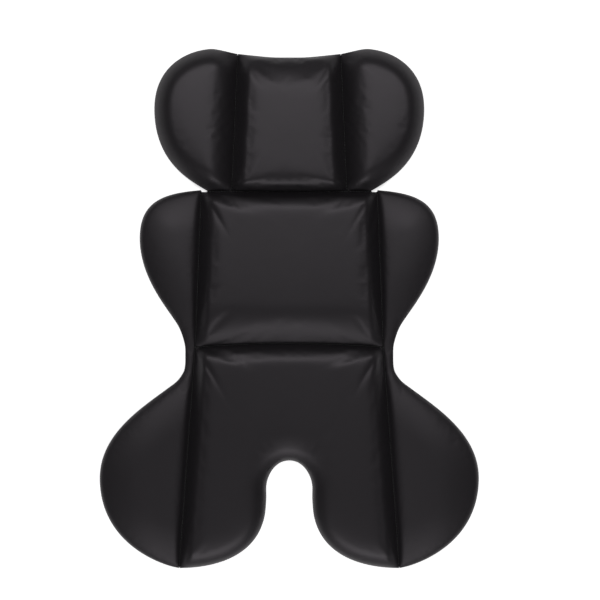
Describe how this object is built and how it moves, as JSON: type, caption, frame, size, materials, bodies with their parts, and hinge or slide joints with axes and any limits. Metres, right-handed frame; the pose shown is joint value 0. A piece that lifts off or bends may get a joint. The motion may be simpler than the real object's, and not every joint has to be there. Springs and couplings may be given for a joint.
{
  "type": "padded infant seat insert",
  "caption": "Flat padded insert for an infant's seat: head pillow, back pad and seat pad whose side wings fold forward along sewn seams, with a crotch-strap slot.",
  "frame": {"origin": "middle of the bounding box seen from above, on the plane that the rear lining rests on", "axes": "+Z out of the front face, +Y towards the head end, +X to the right as seen from the front"},
  "size_m": [0.474, 0.649, 0.023],
  "materials": {
    "cover_fabric": "fine smooth woven polyester, near-black, soft satin sheen",
    "lining_fabric": "plain dark knit lining, matte",
    "wadding": "white polyester wadding"
  },
  "bodies": {
    "back": {"back_panel_cover": "cover_fabric", "back_panel_core": "wadding", "back_panel_lining": "lining_fabric", "head_fold": "cover_fabric", "waist_fold": "cover_fabric", "back_wing_fold_left": "cover_fabric", "back_wing_fold_right": "cover_fabric", "neck_left": "cover_fabric", "neck_right": "cover_fabric"},
    "head": {"head_panel_cover": "cover_fabric", "head_panel_core": "wadding", "head_panel_lining": "lining_fabric", "head_bolster_fold_left": "cover_fabric", "head_bolster_fold_right": "cover_fabric"},
    "seat": {"seat_panel_cover": "cover_fabric", "seat_panel_core": "wadding", "seat_panel_lining": "lining_fabric", "thigh_wing_fold_left": "cover_fabric", "thigh_wing_fold_right": "cover_fabric"},
    "head_bolster_left": {"head_bolster_left_cover": "cover_fabric", "head_bolster_left_core": "wadding", "head_bolster_left_lining": "lining_fabric"},
    "head_bolster_right": {"head_bolster_right_cover": "cover_fabric", "head_bolster_right_core": "wadding", "head_bolster_right_lining": "lining_fabric"},
    "back_wing_left": {"back_wing_left_cover": "cover_fabric", "back_wing_left_core": "wadding", "back_wing_left_lining": "lining_fabric"},
    "back_wing_right": {"back_wing_right_cover": "cover_fabric", "back_wing_right_core": "wadding", "back_wing_right_lining": "lining_fabric"},
    "thigh_wing_left": {"thigh_wing_left_cover": "cover_fabric", "thigh_wing_left_core": "wadding", "thigh_wing_left_lining": "lining_fabric"},
    "thigh_wing_right": {"thigh_wing_right_cover": "cover_fabric", "thigh_wing_right_core": "wadding", "thigh_wing_right_lining": "lining_fabric"}
  },
  "joints": [
    {"name": "head_hinge", "type": "hinge", "parent": "back", "child": "head", "pos_m": [0, 0.146, 0.007], "axis": [1, 0, 0], "range_deg": [-45, 45]},
    {"name": "waist_hinge", "type": "hinge", "parent": "back", "child": "seat", "pos_m": [0, -0.0485, 0.007], "axis": [-1, 0, 0], "range_deg": [-30, 75], "deforming": ["neck_left", "neck_right"]},
    {"name": "head_bolster_left_hinge", "type": "hinge", "parent": "head", "child": "head_bolster_left", "pos_m": [-0.06825, 0.2321, 0.007], "axis": [0.0435, 0.9991, 0], "range_deg": [-20, 70]},
    {"name": "head_bolster_right_hinge", "type": "hinge", "parent": "head", "child": "head_bolster_right", "pos_m": [0.06825, 0.2321, 0.007], "axis": [0.0435, -0.9991, 0], "range_deg": [-20, 70]},
    {"name": "back_wing_left_hinge", "type": "hinge", "parent": "back", "child": "back_wing_left", "pos_m": [-0.11334, 0.0595, 0.007], "axis": [0.0385, 0.9993, 0], "range_deg": [-20, 70], "deforming": ["neck_left"]},
    {"name": "back_wing_right_hinge", "type": "hinge", "parent": "back", "child": "back_wing_right", "pos_m": [0.11334, 0.0595, 0.007], "axis": [0.0385, -0.9993, 0], "range_deg": [-20, 70], "deforming": ["neck_right"]},
    {"name": "thigh_wing_left_hinge", "type": "hinge", "parent": "seat", "child": "thigh_wing_left", "pos_m": [-0.12902, -0.2075, 0.007], "axis": [0.0723, 0.9974, 0], "range_deg": [-20, 70], "deforming": ["neck_left"]},
    {"name": "thigh_wing_right_hinge", "type": "hinge", "parent": "seat", "child": "thigh_wing_right", "pos_m": [0.12902, -0.2075, 0.007], "axis": [0.0723, -0.9974, 0], "range_deg": [-20, 70], "deforming": ["neck_right"]}
  ]
}
